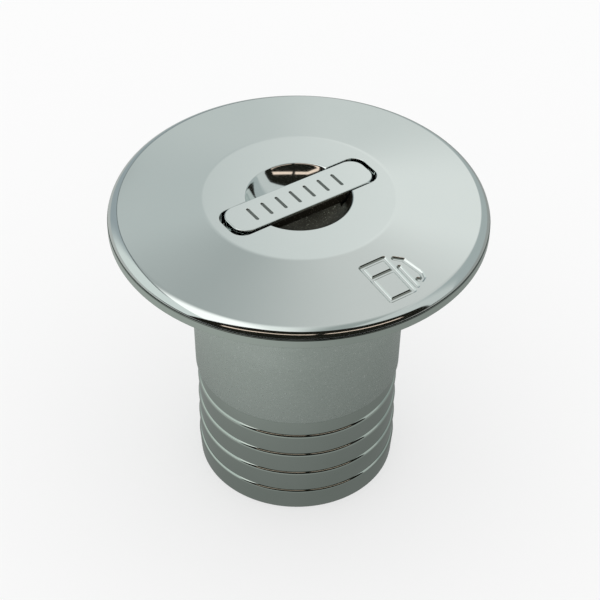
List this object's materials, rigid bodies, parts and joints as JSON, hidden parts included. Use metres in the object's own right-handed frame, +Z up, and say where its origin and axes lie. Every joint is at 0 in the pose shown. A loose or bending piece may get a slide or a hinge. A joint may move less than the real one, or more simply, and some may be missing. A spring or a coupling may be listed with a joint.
{
  "type": "deck fill cap",
  "caption": "Round polished screw cap with a fold-flat handle over a finger bowl, on a cast through-deck filler body whose neck ends in hose barbs.",
  "frame": {"origin": "on the neck's axis at its lower end, which the fitting stands on", "axes": "+Z up along the neck towards the cap, +X from the folded handle's free end towards its hinge, the pump symbol on the -Y side"},
  "size_m": [0.095, 0.095, 0.0854],
  "materials": {
    "polished_cap": "mirror polished, softly blurred",
    "cast_body": "fine cast skin above, machined barbs below",
    "turned_steel": "turned",
    "nylon": "moulded",
    "rubber_seal": "matt"
  },
  "bodies": {
    "filler_body": {"body_casting": "cast_body", "thread_bush": "turned_steel"},
    "seal_ring": {"main_o_ring": "rubber_seal"},
    "cap": {"cap_cover": "polished_cap", "thread_sleeve": "nylon", "backing_plate": "turned_steel", "plate_gasket": "rubber_seal", "plate_screw_1": "turned_steel", "plate_screw_2": "turned_steel", "plate_screw_3": "turned_steel", "plate_screw_4": "turned_steel", "hinge_pin": "turned_steel", "pin_keeper": "nylon", "rest_pad": "rubber_seal", "chain_eye": "turned_steel", "chain_eye_nut": "turned_steel", "chain_eye_washer": "rubber_seal"},
    "handle": {"folding_handle": "polished_cap", "hinge_bush_1": "nylon", "hinge_bush_2": "nylon"}
  },
  "joints": [
    {"name": "cap_rise", "type": "slide", "parent": "filler_body", "child": "seal_ring", "axis": [0, 0, 1], "range_m": [0, 0.0151]},
    {"name": "cap_turn", "type": "hinge", "parent": "seal_ring", "child": "cap", "pos_m": [0, 0, 0.08], "axis": [0, 0, 1], "range_deg": [0, 1800]},
    {"name": "handle_fold", "type": "hinge", "parent": "cap", "child": "handle", "pos_m": [0.017, 0, 0.08255], "axis": [0, 1, 0], "range_deg": [0, 90]}
  ],
  "couplings": [
    {"joint": "cap_rise", "follows": "cap_turn", "m_per_rad": 0.00047746}
  ]
}
